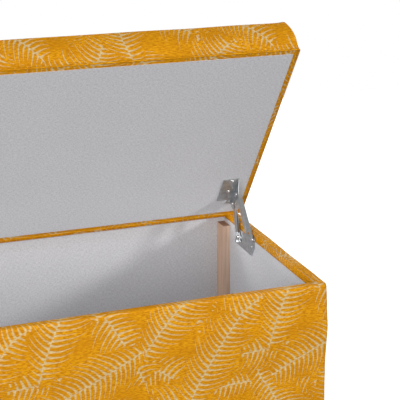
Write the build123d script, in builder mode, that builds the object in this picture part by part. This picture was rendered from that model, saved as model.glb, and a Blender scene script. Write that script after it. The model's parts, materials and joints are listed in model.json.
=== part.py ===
from build123d import *
from math import atan2, cos, degrees, hypot, radians, sin, sqrt
import os

# Upholstered storage chest with a padded lid on a pair of four-bar lift hinges.
# Millimetres. X runs along the chest, Y from front to back, Z up. The origin is on
# the floor under the middle of the chest. The lid is modelled standing open.

# ---------------------------------------------------------------- driving dimensions
length = 900.0  # chest, end to end over the cover
depth = 400.0  # chest and lid, front to back over the cover
height = 400.0  # floor to the top of the shut lid
lid_thickness = 61.0
lid_overhang = 2.0  # lid past each end of the chest
lid_gap = 1.2  # rim to the lid's turned border when the lid is shut
open_angle = 55.6  # degrees the lid tilts up

cover = 1.0  # woven outer fabric
wadding = 2.2  # thin foam under the cover of the chest
board = 12.0  # wall and lid boards
lining = 0.6  # inner cloth
dust_cloth = 0.5

glide_height = 5.0
glide_radius = 11.0
glide_chamfer = 1.0
glide_recess = 2.0  # depth of the nail head's recess
nail_radius = 1.2
nail_head_radius = 2.4
nail_head_height = 1.0
nail_length = 14.0
dust_inset = 8.0  # dust cloth's edge from the cover

rim_lip = 30.0  # cover turned down inside the rim
rim_lip_shown = 13.0  # part of that lip above the wall lining
base_hem = 22.0  # cover turned under the walls

batten = 20.0  # square section of the base battens
base_board = 8.0
post_x = 14.0  # corner post section
post_y = 29.0
post_drop = 20.8  # post top below the rim
post_chamfer = 0.8
post_screw_end = 60.0  # end screws from the wall board's top and bottom
post_screw_bite = 9.0  # screw length inside the post

lid_border = 25.0  # cover turned under the lid board
lid_border_shown = 8.6  # part of that border outside the lid lining
lid_wadding_thickness = 3.0
lid_edge_radius = 6.0
lid_corner_radius = 5.0

# Hinge pivots on the wall, behind or below these faces of the chest.
rear_wall_pivot = (95.5, 26.0)  # in front of the back face, below the rim
front_wall_pivot = (152.5, 12.0)
# Hinge pivots on the lid: in front of its back edge, below its underside.
rear_lid_pivot = (40.0, 9.5)
front_lid_pivot = (66.5, 9.5)

plate = 2.0  # wall bracket sheet
sheet = 1.2  # arms and lid bracket sheet
arm_width = 11.0
rear_arm_channel = 4.0  # outside width of the rear arm's channel
front_arm_channel = 7.0  # the rear arm folds inside this one
arm_tail = 8.0  # rear arm past its wall pivot
running_gap = 0.3  # between sheets that slide past each other
pin_radius = 2.5
pin_clearance = 0.05
head_radius = 4.2
head_height = 2.2
collar_radius = 4.5

screw_radius = 1.8
screw_head_radius = 4.0
screw_head_height = 2.0
screw_length = 12.0

staple_wire = 0.6
staple_crown = 10.0
staple_leg = 6.0
staple_spacing = 60.0
base_staple_inset = 20.0
rim_staple_drop = 22.0  # below the rim, behind the top of the wall lining
lid_staple_inset = 16.0

# ---------------------------------------------------------------- derived dimensions
base_z = glide_height + dust_cloth  # underside of the turned hem
rim_z = height - lid_thickness - lid_gap
batten_z = base_z + cover
floor_z = batten_z + batten + base_board  # top of the base panel
lining_z = floor_z + lining  # top of the base lining

panel_inset = cover + wadding
panel_face = panel_inset + board  # inner face of the wall boards
lip_face = panel_face + cover  # inner face of the turned rim lip
wall_face = lip_face + lining  # inner face of the wall lining

lid_length = length + 2 * lid_overhang
lid_board_z = cover  # lid heights are above the lid's underside
lid_foam_z = lid_board_z + board

sides = ("front", "back", "left", "right")
hands = {"left": -1, "right": 1}


# ---------------------------------------------------------------- lid position, open
def from_lid(edge, pivot, angle):
    """Y, Z of a point on the lid, from the lid's back edge, at a lid angle in radians."""
    forward, below = pivot
    return (
        edge[0] - forward * cos(angle) - below * sin(angle),
        edge[1] + forward * sin(angle) - below * cos(angle),
    )


def distance(a, b):
    return hypot(a[0] - b[0], a[1] - b[1])


rear_pin = (depth / 2 - rear_wall_pivot[0], rim_z - rear_wall_pivot[1])
front_pin = (depth / 2 - front_wall_pivot[0], rim_z - front_wall_pivot[1])
shut_edge = (depth / 2, rim_z + lid_gap)
rear_arm_length = distance(rear_pin, from_lid(shut_edge, rear_lid_pivot, 0))
front_arm_length = distance(front_pin, from_lid(shut_edge, front_lid_pivot, 0))


def open_edge():
    """Lid's back edge where both arms reach their lid pivots at the open angle."""
    angle = radians(open_angle)
    rear_reach = from_lid((0, 0), rear_lid_pivot, angle)
    front_reach = from_lid((0, 0), front_lid_pivot, angle)
    rear_centre = (rear_pin[0] - rear_reach[0], rear_pin[1] - rear_reach[1])
    front_centre = (front_pin[0] - front_reach[0], front_pin[1] - front_reach[1])
    span = distance(rear_centre, front_centre)
    along = (rear_arm_length**2 - front_arm_length**2 + span**2) / (2 * span)
    across = sqrt(rear_arm_length**2 - along**2)
    unit_y = (front_centre[0] - rear_centre[0]) / span
    unit_z = (front_centre[1] - rear_centre[1]) / span
    return (
        rear_centre[0] + along * unit_y + across * unit_z,
        rear_centre[1] + along * unit_z - across * unit_y,
    )


lid_edge = open_edge()
rear_lid_pin = from_lid(lid_edge, rear_lid_pivot, radians(open_angle))
front_lid_pin = from_lid(lid_edge, front_lid_pivot, radians(open_angle))


def direction(start, end):
    """Angle in degrees of the line from start to end, from +Y towards +Z."""
    return degrees(atan2(end[1] - start[1], end[0] - start[0]))


rear_arm_angle = direction(rear_pin, rear_lid_pin)
front_arm_angle = direction(front_pin, front_lid_pin)
rear_arm_turn = rear_arm_angle - direction(rear_pin, from_lid(shut_edge, rear_lid_pivot, 0))
front_arm_turn = front_arm_angle - direction(front_pin, from_lid(shut_edge, front_lid_pivot, 0))

# Lid frame: origin on the lid's back bottom edge, local Y towards the back edge and
# local Z out of the top of the lid.
lid_plane = Plane(
    origin=(0, lid_edge[0], lid_edge[1]),
    x_dir=(1, 0, 0),
    z_dir=(0, sin(radians(open_angle)), cos(radians(open_angle))),
)

# Hinge layers, measured in from the chest's end face.
bracket_back = wall_face
bracket_front = bracket_back + plate
front_arm_outer = bracket_front + running_gap
front_arm_inner = front_arm_outer + front_arm_channel
rear_arm_outer = (front_arm_outer + front_arm_inner - rear_arm_channel) / 2
rear_arm_inner = rear_arm_outer + rear_arm_channel
lid_flange_outer = front_arm_inner + running_gap
lid_flange_inner = lid_flange_outer + sheet

os.makedirs("parts", exist_ok=True)


def save(node, name):
    node.part.label = name
    export_step(node.part, f"parts/{name}.step")


# ---------------------------------------------------------------- shared shapes
def outward_sign(side):
    return 1 if side in ("back", "right") else -1


def mitred_strip(side, outer, inner):
    """Corners of one side of a picture frame ring between two insets."""
    x_out, x_in = length / 2 - outer, length / 2 - inner
    y_out, y_in = depth / 2 - outer, depth / 2 - inner
    if side in ("front", "back"):
        corners = [(-x_out, y_out), (x_out, y_out), (x_in, y_in), (-x_in, y_in)]
    else:
        corners = [(x_out, -y_out), (x_out, y_out), (x_in, y_in), (x_in, -y_in)]
    sign = outward_sign(side)
    return [(x * sign, y * sign) for x, y in corners]


def extrude_strip(side, outer, inner, z_low, z_high):
    """Adds one mitred wall strip to the part being built."""
    with BuildSketch(Plane.XY.offset(z_low)) as outline:
        Polygon(*mitred_strip(side, outer, inner), align=None)
    extrude(outline.sketch, amount=z_high - z_low)


def extrude_rectangle(plane, x_low, x_high, y_low, y_high, thickness, mode=Mode.ADD):
    """Adds or cuts a rectangular block that stands on a plane."""
    with BuildSketch(plane) as outline:
        with Locations(((x_low + x_high) / 2, (y_low + y_high) / 2)):
            Rectangle(x_high - x_low, y_high - y_low)
    extrude(outline.sketch, amount=thickness, mode=mode)


def extrude_disc(plane, radius, thickness, mode=Mode.ADD):
    """Adds or cuts a round disc at a plane's origin."""
    with BuildSketch(plane) as outline:
        Circle(radius)
    extrude(outline.sketch, amount=thickness, mode=mode)


def domed_head(plane, radius, head):
    """Adds a low rounded head that stands on a plane, centred on its origin."""
    bulge = (radius**2 + head**2) / (2 * head)
    with BuildPart(mode=Mode.PRIVATE) as dome:
        with BuildSketch(Plane.XZ) as outline:
            with BuildLine():
                Polyline((0, head), (0, 0), (radius, 0))
                RadiusArc((radius, 0), (0, head), -bulge)
            make_face()
        revolve(outline.sketch, axis=Axis.Z)
    add(plane.location * dome.part)


def spaced(low, high, spacing):
    """Evenly spaced stations that start and end half a gap inside a run."""
    count = max(1, round((high - low) / spacing))
    gap = (high - low) / count
    return [low + gap * (index + 0.5) for index in range(count)]


# ---------------------------------------------------------------- chest walls
panel_low = batten_z
panel_high = rim_z - cover
post_screw_z = [
    panel_low + post_screw_end,
    (panel_low + panel_high) / 2,
    panel_high - post_screw_end,
]
end_screw_y = depth / 2 - wall_face - post_y / 2
side_screw_x = length / 2 - wall_face - post_x / 2


def panel_extent(side):
    """X and Y limits of a wall board. The end boards stand between the long ones."""
    x_out, y_out = length / 2 - panel_inset, depth / 2 - panel_inset
    sign = outward_sign(side)
    if side in ("front", "back"):
        return -x_out, x_out, *sorted((sign * y_out, sign * (y_out - board)))
    return *sorted((sign * x_out, sign * (x_out - board))), -(y_out - board), y_out - board


def screw_planes(side):
    """Planes on a board's outer face, facing inwards, one for each post screw."""
    sign = outward_sign(side)
    planes = []
    for z in post_screw_z:
        for end in (-1, 1):
            if side in ("front", "back"):
                place = (end * side_screw_x, sign * (depth / 2 - panel_inset), z)
                planes.append(Plane(origin=place, z_dir=(0, -sign, 0)))
            else:
                place = (sign * (length / 2 - panel_inset), end * end_screw_y, z)
                planes.append(Plane(origin=place, z_dir=(-sign, 0, 0)))
    return planes


def screw_cone(plane, mode):
    """Countersunk head shape, widest at the plane."""
    with BuildSketch(plane) as wide:
        Circle(screw_head_radius)
    with BuildSketch(plane.offset(screw_head_height)) as narrow:
        Circle(screw_radius)
    loft([wide.sketch, narrow.sketch], mode=mode)


def wall_panel(side):
    with BuildPart() as panel:
        x_low, x_high, y_low, y_high = panel_extent(side)
        bottom = Plane.XY.offset(panel_low)
        extrude_rectangle(bottom, x_low, x_high, y_low, y_high, panel_high - panel_low)
        for plane in screw_planes(side):
            extrude_disc(plane, screw_radius, board, Mode.SUBTRACT)
            screw_cone(plane, Mode.SUBTRACT)
    save(panel, f"{side}_panel")


def wall_wadding(side):
    with BuildPart() as pad:
        extrude_strip(side, cover, panel_inset, batten_z, panel_high)
    save(pad, f"{side}_wadding")


def wall_cover(side):
    """Outer fabric of one side, turned over the rim and under the wall."""
    with BuildPart() as cloth:
        extrude_strip(side, 0, cover, base_z, rim_z)
        extrude_strip(side, 0, lip_face, panel_high, rim_z)
        extrude_strip(side, panel_face, lip_face, rim_z - rim_lip, rim_z)
        extrude_strip(side, 0, base_hem, base_z, batten_z)
    save(cloth, f"{side}_cover")


def wall_lining(side):
    with BuildPart() as cloth:
        extrude_strip(side, lip_face, wall_face, lining_z, rim_z - rim_lip_shown)
    save(cloth, f"{side}_lining")


for side in sides:
    wall_panel(side)
    wall_wadding(side)
    wall_cover(side)
    wall_lining(side)

# ---------------------------------------------------------------- chest base and posts
base_x = length / 2 - panel_face
base_y = depth / 2 - panel_face


def base_batten(side):
    """Long battens run the full length, short ones stand between them."""
    sign = outward_sign(side)
    bottom = Plane.XY.offset(batten_z)
    with BuildPart() as rail:
        if side in ("front", "back"):
            y_low, y_high = sorted((sign * base_y, sign * (base_y - batten)))
            extrude_rectangle(bottom, -base_x, base_x, y_low, y_high, batten)
        else:
            x_low, x_high = sorted((sign * base_x, sign * (base_x - batten)))
            y_end = base_y - batten
            extrude_rectangle(bottom, x_low, x_high, -y_end, y_end, batten)
    save(rail, f"{side}_batten")


def corner_post(name, x_sign, y_sign):
    """Pine post in one inner corner, screwed to both walls."""
    x_face, y_face = length / 2 - wall_face, depth / 2 - wall_face
    x_low, x_high = sorted((x_sign * x_face, x_sign * (x_face - post_x)))
    y_low, y_high = sorted((y_sign * y_face, y_sign * (y_face - post_y)))
    bottom = Plane.XY.offset(lining_z)
    with BuildPart() as post:
        extrude_rectangle(bottom, x_low, x_high, y_low, y_high, rim_z - post_drop - lining_z)
        chamfer(post.edges().filter_by(Axis.Z), post_chamfer)
    save(post, name)


for side in sides:
    base_batten(side)
for y_name, y_sign in (("front", -1), ("rear", 1)):
    for x_name, x_sign in hands.items():
        corner_post(f"{y_name}_{x_name}_post", x_sign, y_sign)

with BuildPart() as base_panel:
    extrude_rectangle(Plane.XY.offset(batten_z + batten), -base_x, base_x, -base_y, base_y, base_board)
save(base_panel, "base_panel")

with BuildPart() as base_lining:
    extrude_rectangle(Plane.XY.offset(floor_z), -base_x, base_x, -base_y, base_y, lining)
save(base_lining, "base_lining")

with BuildPart() as dust_cover:
    extrude_rectangle(
        Plane.XY.offset(glide_height),
        -(length / 2 - dust_inset),
        length / 2 - dust_inset,
        -(depth / 2 - dust_inset),
        depth / 2 - dust_inset,
        dust_cloth,
    )
save(dust_cover, "dust_cover")

glide_inset = panel_face + batten / 2  # nailed up into the long battens
glide_spacing = (length - 2 * glide_inset, depth - 2 * glide_inset)
with BuildPart() as glides:
    with BuildSketch():
        with GridLocations(*glide_spacing, 2, 2):
            Circle(glide_radius)
    extrude(amount=glide_height)
    chamfer(glides.faces().sort_by(Axis.Z)[:4].edges(), glide_chamfer)
    with BuildSketch():
        with GridLocations(*glide_spacing, 2, 2):
            Circle(nail_head_radius)
    extrude(amount=glide_recess, mode=Mode.SUBTRACT)
    with BuildSketch():
        with GridLocations(*glide_spacing, 2, 2):
            Circle(nail_radius)
    extrude(amount=glide_height, mode=Mode.SUBTRACT)
save(glides, "glides")

with BuildPart() as glide_nails:
    with BuildSketch(Plane.XY.offset(glide_recess - nail_head_height)):
        with GridLocations(*glide_spacing, 2, 2):
            Circle(nail_head_radius)
    extrude(amount=nail_head_height)
    with BuildSketch(Plane.XY.offset(glide_recess)):
        with GridLocations(*glide_spacing, 2, 2):
            Circle(nail_radius)
    extrude(amount=nail_length)
save(glide_nails, "glide_nails")

# ---------------------------------------------------------------- chest fixings
post_screw_length = board + lining + cover + post_screw_bite
with BuildPart(mode=Mode.PRIVATE) as post_screw:
    screw_cone(Plane.XY, Mode.ADD)
    extrude_disc(Plane.XY, screw_radius, post_screw_length)
with BuildPart() as panel_screws:
    with Locations(*[plane for side in sides for plane in screw_planes(side)]):
        add(post_screw.part)
save(panel_screws, "panel_screws")

# One staple: crown along local X, legs driven along local Z.
half_crown = staple_crown / 2
half_wire = staple_wire / 2
with BuildPart(mode=Mode.PRIVATE) as staple:
    extrude_rectangle(Plane.XY, -half_crown, half_crown, -half_wire, half_wire, staple_wire)
    extrude_rectangle(Plane.XY, half_crown - staple_wire, half_crown, -half_wire, half_wire, staple_leg)
    extrude_rectangle(Plane.XY, -half_crown, staple_wire - half_crown, -half_wire, half_wire, staple_leg)


def ring_stations(inset, x_total, y_total):
    """X, Y and running direction of staples round a rectangle."""
    x_half, y_half = x_total / 2 - inset, y_total / 2 - inset
    stations = []
    for sign in (-1, 1):
        stations += [(x, sign * y_half, (1, 0, 0)) for x in spaced(-x_half, x_half, staple_spacing)]
        stations += [(sign * x_half, y, (0, 1, 0)) for y in spaced(-y_half, y_half, staple_spacing)]
    return stations


def base_staple_plane(x, y, along):
    """Seat of a staple driven up through the hem into a batten."""
    return Plane(origin=(x, y, glide_height), x_dir=along, z_dir=(0, 0, 1))


def rim_staple_plane(x, y, along):
    """Seat of a staple driven outwards through the rim lip into the board."""
    outward = (0, 1 if y > 0 else -1, 0) if along[0] else (1 if x > 0 else -1, 0, 0)
    return Plane(origin=(x, y, rim_z - rim_staple_drop), x_dir=along, z_dir=outward)


with BuildPart() as base_staples:
    stations = ring_stations(base_staple_inset, length, depth)
    with Locations(*[base_staple_plane(*station) for station in stations]):
        add(staple.part)
save(base_staples, "base_staples")

with BuildPart() as rim_staples:
    stations = ring_stations(lip_face, length, depth)
    with Locations(*[rim_staple_plane(*station) for station in stations]):
        add(staple.part)
save(rim_staples, "rim_staples")


# ---------------------------------------------------------------- lid
def lid_block(inset, z_low, z_high):
    """Rounded block of the lid, with soft top edges, standing on the lid frame."""
    with BuildSketch(lid_plane.offset(z_low)) as outline:
        with Locations((0, -depth / 2)):
            RectangleRounded(lid_length - 2 * inset, depth - 2 * inset, lid_corner_radius - inset)
    extrude(outline.sketch, amount=z_high - z_low)


def lid_frame_cut(inset, z_low, z_high):
    """Opening through the turned border of the lid cover."""
    extrude_rectangle(
        lid_plane.offset(z_low),
        -(lid_length / 2 - inset),
        lid_length / 2 - inset,
        -depth + inset,
        -inset,
        z_high - z_low,
        Mode.SUBTRACT,
    )


def lid_faces(node, end):
    """The lid's bottom face (0) or top face (-1)."""
    return node.faces().sort_by(Axis(lid_plane.origin, lid_plane.z_dir))[end]


wadding_inset = cover
foam_inset = cover + lid_wadding_thickness

with BuildPart() as lid_cover:
    lid_block(0, 0, lid_thickness)
    fillet(lid_faces(lid_cover, -1).edges(), lid_edge_radius)
    offset(amount=-cover, openings=lid_faces(lid_cover, 0))
    extrude_rectangle(
        lid_plane,
        -(lid_length / 2 - lid_corner_radius),
        lid_length / 2 - lid_corner_radius,
        -depth + cover / 2,
        -cover / 2,
        cover,
    )
    extrude_rectangle(
        lid_plane,
        -(lid_length / 2 - cover / 2),
        lid_length / 2 - cover / 2,
        -depth + lid_corner_radius,
        -lid_corner_radius,
        cover,
    )
    lid_frame_cut(lid_border, 0, cover)
save(lid_cover, "lid_cover")

with BuildPart() as lid_wadding:
    lid_block(wadding_inset, lid_foam_z, lid_thickness - cover)
    fillet(lid_faces(lid_wadding, -1).edges(), lid_edge_radius - cover)
    offset(amount=-lid_wadding_thickness, openings=lid_faces(lid_wadding, 0))
save(lid_wadding, "lid_wadding")

with BuildPart() as lid_foam:
    lid_block(foam_inset, lid_foam_z, lid_thickness - foam_inset)
    fillet(lid_faces(lid_foam, -1).edges(), lid_edge_radius - foam_inset)
save(lid_foam, "lid_foam")

with BuildPart() as lid_board:
    lid_block(wadding_inset, lid_board_z, lid_foam_z)
save(lid_board, "lid_board")

with BuildPart() as lid_lining:
    extrude_rectangle(
        lid_plane.offset(-lining),
        -(lid_length / 2 - lid_border_shown),
        lid_length / 2 - lid_border_shown,
        -depth + lid_border_shown,
        -lid_border_shown,
        lining,
    )
save(lid_lining, "lid_lining")


def lid_staple_plane(x, y, along):
    """Seat of a staple driven up through the lid cover's border into the board."""
    run = lid_plane.x_dir if along[0] else lid_plane.y_dir
    seat = lid_plane.from_local_coords(Vector(x, y - depth / 2, 0))
    return Plane(origin=seat, x_dir=run, z_dir=lid_plane.z_dir)


with BuildPart() as lid_staples:
    stations = ring_stations(lid_staple_inset, lid_length, depth)
    with Locations(*[lid_staple_plane(*station) for station in stations]):
        add(staple.part)
save(lid_staples, "lid_staples")


# ---------------------------------------------------------------- hinges
# Each hinge part is made for the right end and mirrored for the left one. Insets are
# measured in from the chest's right end face.
def hinge_plane(inset, pin, angle=0.0):
    """Plane facing into the chest at an inset, local X turned up from +Y by an angle."""
    turn = radians(angle)
    return Plane(
        origin=(length / 2 - inset, pin[0], pin[1]),
        x_dir=(0, cos(turn), sin(turn)),
        z_dir=(-1, 0, 0),
    )


def save_pair(node, name):
    save(node, f"right_{name}")
    with BuildPart() as twin:
        mirror(node.part, about=Plane.YZ)
    save(twin, f"left_{name}")


bracket_drop = 42.0  # bracket's lower edge below the rim
bracket_corner = 3.0
bracket_fold = 3.0  # stiffening fold along the lower front edge
bracket_fold_sheet = 1.2
bracket_low = rim_z - bracket_drop
bracket_outline = [
    (front_pin[0] + 5.5, bracket_low),
    (rear_pin[0] + 27.0, bracket_low),
    (rear_pin[0] + 9.0, rear_pin[1] + 6.5),
    (front_pin[0] + 2.5, front_pin[1] + 8.0),
    (front_pin[0] - 7.0, front_pin[1] + 4.0),
    (front_pin[0] - 8.5, front_pin[1] - 8.0),
]
wall_screw_spots = [
    (front_pin[0] + 2.5, front_pin[1] - 14.5),
    (rear_pin[0] + 14.5, rear_pin[1] - 8.5),
]

bracket_plane = Plane(
    origin=(length / 2 - bracket_front, 0, 0),
    x_dir=(0, 1, 0),
    z_dir=(1, 0, 0),
)
fold_low, fold_high = bracket_outline[0], bracket_outline[-1]
fold_run = distance(fold_low, fold_high)
fold_plane = Plane(
    origin=(length / 2 - bracket_front, *fold_low),
    x_dir=(0, fold_high[0] - fold_low[0], fold_high[1] - fold_low[1]),
    z_dir=(-1, 0, 0),
)

with BuildPart() as wall_bracket:
    with BuildSketch(bracket_plane):
        Polygon(*bracket_outline, align=None)
    extrude(amount=plate)
    fillet(wall_bracket.edges().filter_by(Axis.X), bracket_corner)
    extrude_rectangle(
        fold_plane,
        bracket_corner,
        fold_run - bracket_corner,
        0,
        bracket_fold_sheet,
        bracket_fold,
    )
    for pin in (rear_pin, front_pin):
        extrude_disc(hinge_plane(bracket_back, pin), pin_radius, plate, Mode.SUBTRACT)
    for spot in wall_screw_spots:
        extrude_disc(hinge_plane(bracket_back, spot), screw_radius, plate, Mode.SUBTRACT)
save_pair(wall_bracket, "wall_bracket")


def arm_flange(plane, start, stop, round_end, hole):
    """One side of an arm's channel with a round pivot end and its pin hole."""
    with BuildSketch(plane) as outline:
        with Locations(((start + stop) / 2, 0)):
            Rectangle(stop - start, arm_width)
        with Locations((round_end, 0)):
            Circle(arm_width / 2)
            Circle(hole, mode=Mode.SUBTRACT)
    extrude(outline.sketch, amount=sheet)


def arm_web(plane, start, stop, edge, width):
    """Sheet that joins an arm's two flanges along one edge of the channel."""
    low, high = sorted((edge, edge - sheet if edge > 0 else edge + sheet))
    extrude_rectangle(plane, start, stop, low, high, width)


rear_arm_open = 12.0  # outer flange and web stop this far short of the lid pivot
rear_arm_start = 9.0  # inner flange starts this far past the wall pivot
running_hole = pin_radius + pin_clearance

with BuildPart() as rear_arm:
    outer = hinge_plane(rear_arm_outer, rear_pin, rear_arm_angle)
    inner = hinge_plane(rear_arm_inner - sheet, rear_pin, rear_arm_angle)
    arm_flange(outer, -arm_tail, rear_arm_length - rear_arm_open, 0, running_hole)
    arm_flange(inner, rear_arm_start, rear_arm_length, rear_arm_length, running_hole)
    arm_web(outer, -arm_tail, rear_arm_length - rear_arm_open, arm_width / 2, rear_arm_channel)
save_pair(rear_arm, "rear_arm")

front_arm_open = 10.0  # outer flange stops this far short of the lid pivot
front_arm_start = 14.0  # inner flange and web start this far past the wall pivot

with BuildPart() as front_arm:
    outer = hinge_plane(front_arm_outer, front_pin, front_arm_angle)
    inner = hinge_plane(front_arm_inner - sheet, front_pin, front_arm_angle)
    arm_flange(outer, 0, front_arm_length - front_arm_open, 0, running_hole)
    arm_flange(inner, front_arm_start, front_arm_length, front_arm_length, pin_radius)
    arm_web(outer, front_arm_start, front_arm_length - front_arm_open, -arm_width / 2, front_arm_channel)
save_pair(front_arm, "front_arm")

# Lid bracket: a plate on the lid lining with a flange that carries both lid pivots.
bracket_rear = 44.0  # plate's rear and front ends, in front of the lid's back edge
bracket_fore = 100.0
bracket_width = 28.0
tab_rear = 33.0  # stop tab behind the plate
tab_width = 8.5
tab_bar = 3.5
tab_bar_width = 12.5
tab_hole_edge = 2.0  # metal left beside the tab's hole
flange_tip = 1.0  # flange left at the plate's front end
flange_corner = 4.0
flange_drop = 16.0
flange_fore = 76.0  # full flange depth ends here and tapers to the plate's front end
lid_screw_spots = [(12.0, 95.0), (12.5, 67.0)]

with BuildPart() as lid_bracket:
    x_edge = length / 2 - lid_flange_outer
    x_inner = x_edge - sheet
    face = lid_plane.offset(-lining - sheet)
    extrude_rectangle(face, x_edge - bracket_width, x_edge, -bracket_fore, -bracket_rear, sheet)
    extrude_rectangle(face, x_edge - tab_width, x_edge, -bracket_rear, -tab_rear, sheet)
    extrude_rectangle(face, x_edge - tab_bar_width, x_edge, -tab_rear - tab_bar, -tab_rear, sheet)
    extrude_rectangle(
        face,
        x_edge - tab_width + tab_hole_edge,
        x_inner - tab_hole_edge,
        -bracket_rear,
        -tab_rear - tab_bar,
        sheet,
        Mode.SUBTRACT,
    )
    side_face = Plane(
        origin=lid_plane.from_local_coords(Vector(x_edge, 0, 0)),
        x_dir=-lid_plane.y_dir,
        z_dir=(1, 0, 0),
    )
    with BuildSketch(side_face) as outline:
        Polygon(
            (tab_rear, lining),
            (bracket_fore, lining),
            (bracket_fore, lining + sheet + flange_tip),
            (flange_fore, flange_drop),
            (tab_rear, flange_drop),
            align=None,
        )
        fillet(outline.vertices().group_by(Axis.Y)[-1], flange_corner)
    extrude(outline.sketch, amount=-sheet)
    for pivot in (rear_lid_pivot, front_lid_pivot):
        spot = side_face.from_local_coords(Vector(pivot[0], pivot[1], 0))
        extrude_disc(Plane(origin=spot, z_dir=(-1, 0, 0)), pin_radius, sheet, Mode.SUBTRACT)
    for across, forward in lid_screw_spots:
        spot = lid_plane.from_local_coords(Vector(x_edge - across, -forward, -lining))
        extrude_disc(Plane(origin=spot, z_dir=-lid_plane.z_dir), screw_radius, sheet, Mode.SUBTRACT)
save_pair(lid_bracket, "lid_bracket")

# ---------------------------------------------------------------- hinge pins and screws
head_gap = 0.1


def pin(inset_low, inset_high, place, radius=pin_radius):
    """Round pin across the hinge between two insets."""
    extrude_disc(hinge_plane(inset_low, place), radius, inset_high - inset_low)


def collar(inset_low, inset_high, place):
    """Spacer ring around a pin."""
    with BuildSketch(hinge_plane(inset_low, place)) as ring:
        Circle(collar_radius)
        Circle(pin_radius, mode=Mode.SUBTRACT)
    extrude(ring.sketch, amount=inset_high - inset_low)


rear_flange_face = rear_arm_outer + sheet + head_gap
front_flange_face = front_arm_outer + sheet + head_gap
with BuildPart() as wall_rivets:
    for place, face_inset in ((rear_pin, rear_flange_face), (front_pin, front_flange_face)):
        pin(bracket_back, face_inset, place)
        domed_head(hinge_plane(face_inset, place), head_radius, head_height)
    mirror(about=Plane.YZ)
save(wall_rivets, "wall_rivets")

with BuildPart() as wall_collars:
    collar(bracket_front, rear_arm_outer - head_gap, rear_pin)
    mirror(about=Plane.YZ)
save(wall_collars, "wall_collars")

tail_head = 1.0
with BuildPart() as lid_rivets:
    pin(rear_arm_inner - sheet - head_gap - tail_head, lid_flange_inner, rear_lid_pin)
    pin(
        rear_arm_inner - sheet - head_gap - tail_head,
        rear_arm_inner - sheet - head_gap,
        rear_lid_pin,
        head_radius,
    )
    pin(lid_flange_outer, lid_flange_inner, front_lid_pin)
    for place in (rear_lid_pin, front_lid_pin):
        domed_head(hinge_plane(lid_flange_inner, place), head_radius, head_height)
    mirror(about=Plane.YZ)
save(lid_rivets, "lid_rivets")

with BuildPart() as lid_collars:
    collar(rear_arm_inner + head_gap, lid_flange_outer, rear_lid_pin)
    mirror(about=Plane.YZ)
save(lid_collars, "lid_collars")

stud_gap = 0.1  # the stud stops this far short of the lid bracket's flange
with BuildPart() as front_arm_studs:
    pin(front_arm_inner - sheet, lid_flange_outer - stud_gap, front_lid_pin)
    mirror(about=Plane.YZ)
save(front_arm_studs, "front_arm_studs")

# One slotted pan head screw: head above local Z 0, thread driven along -Z.
slot_width = 1.0
slot_depth = 1.0
wall_slot_turn = 20.0  # degrees
lid_slot_turn = 12.0
with BuildPart(mode=Mode.PRIVATE) as pan_screw:
    domed_head(Plane.XY, screw_head_radius, screw_head_height)
    extrude_rectangle(
        Plane.XY.offset(screw_head_height - slot_depth),
        -screw_head_radius,
        screw_head_radius,
        -slot_width / 2,
        slot_width / 2,
        slot_depth,
        Mode.SUBTRACT,
    )
    extrude_disc(Plane.XY.offset(-screw_length), screw_radius, screw_length)
    chamfer(pan_screw.faces().sort_by(Axis.Z)[0].edges(), screw_radius * 0.8)

with BuildPart() as wall_screws:
    with Locations(*[hinge_plane(bracket_front, spot, wall_slot_turn) for spot in wall_screw_spots]):
        add(pan_screw.part)
    mirror(about=Plane.YZ)
save(wall_screws, "wall_screws")


def lid_screw_plane(across, forward):
    """Seat of a screw on the lid bracket's plate, its slot nearly along the lid's depth."""
    corner = Vector(length / 2 - lid_flange_outer - across, -forward, -lining - sheet)
    skew = radians(lid_slot_turn)
    slot = lid_plane.y_dir * cos(skew) + lid_plane.x_dir * sin(skew)
    return Plane(origin=lid_plane.from_local_coords(corner), x_dir=slot, z_dir=-lid_plane.z_dir)


with BuildPart() as lid_screws:
    with Locations(*[lid_screw_plane(*spot) for spot in lid_screw_spots]):
        add(pan_screw.part)
    mirror(about=Plane.YZ)
save(lid_screws, "lid_screws")

print(f"arm turns: rear {rear_arm_turn:.4f}, front {front_arm_turn:.4f} degrees")
print(f"rear arm pins: {rear_pin}, {rear_lid_pin}; front arm pins: {front_pin}, {front_lid_pin}")
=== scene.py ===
import json
import math

import bmesh
import bpy
import numpy as np
from mathutils import Matrix, Vector, noise


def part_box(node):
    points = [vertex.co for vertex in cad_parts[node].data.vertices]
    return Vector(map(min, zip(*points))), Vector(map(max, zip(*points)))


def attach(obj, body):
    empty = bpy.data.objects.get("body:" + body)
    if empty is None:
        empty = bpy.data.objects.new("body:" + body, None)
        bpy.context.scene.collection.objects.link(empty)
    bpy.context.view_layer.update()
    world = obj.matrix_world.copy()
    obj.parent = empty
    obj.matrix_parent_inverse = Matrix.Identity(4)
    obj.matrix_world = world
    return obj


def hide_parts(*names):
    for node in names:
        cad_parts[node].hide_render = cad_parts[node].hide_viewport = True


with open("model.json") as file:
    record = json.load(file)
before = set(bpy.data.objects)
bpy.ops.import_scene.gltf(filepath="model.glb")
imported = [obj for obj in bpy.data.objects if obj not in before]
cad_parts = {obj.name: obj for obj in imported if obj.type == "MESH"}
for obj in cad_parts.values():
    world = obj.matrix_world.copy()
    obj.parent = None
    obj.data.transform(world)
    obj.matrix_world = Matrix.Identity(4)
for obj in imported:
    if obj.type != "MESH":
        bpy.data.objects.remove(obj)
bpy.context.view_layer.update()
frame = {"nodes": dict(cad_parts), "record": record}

# Upholstered storage chest with its padded lid standing open. Metres, in the CAD frame.

SIDES = ("front", "back", "left", "right")
OPEN_ANGLE = math.radians(55.6)
COVER = 0.001  # thickness of the woven cover
LID_DEPTH = 0.400
LID_THICKNESS = 0.061
LID_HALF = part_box("lid_cover")[1].x


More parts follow.
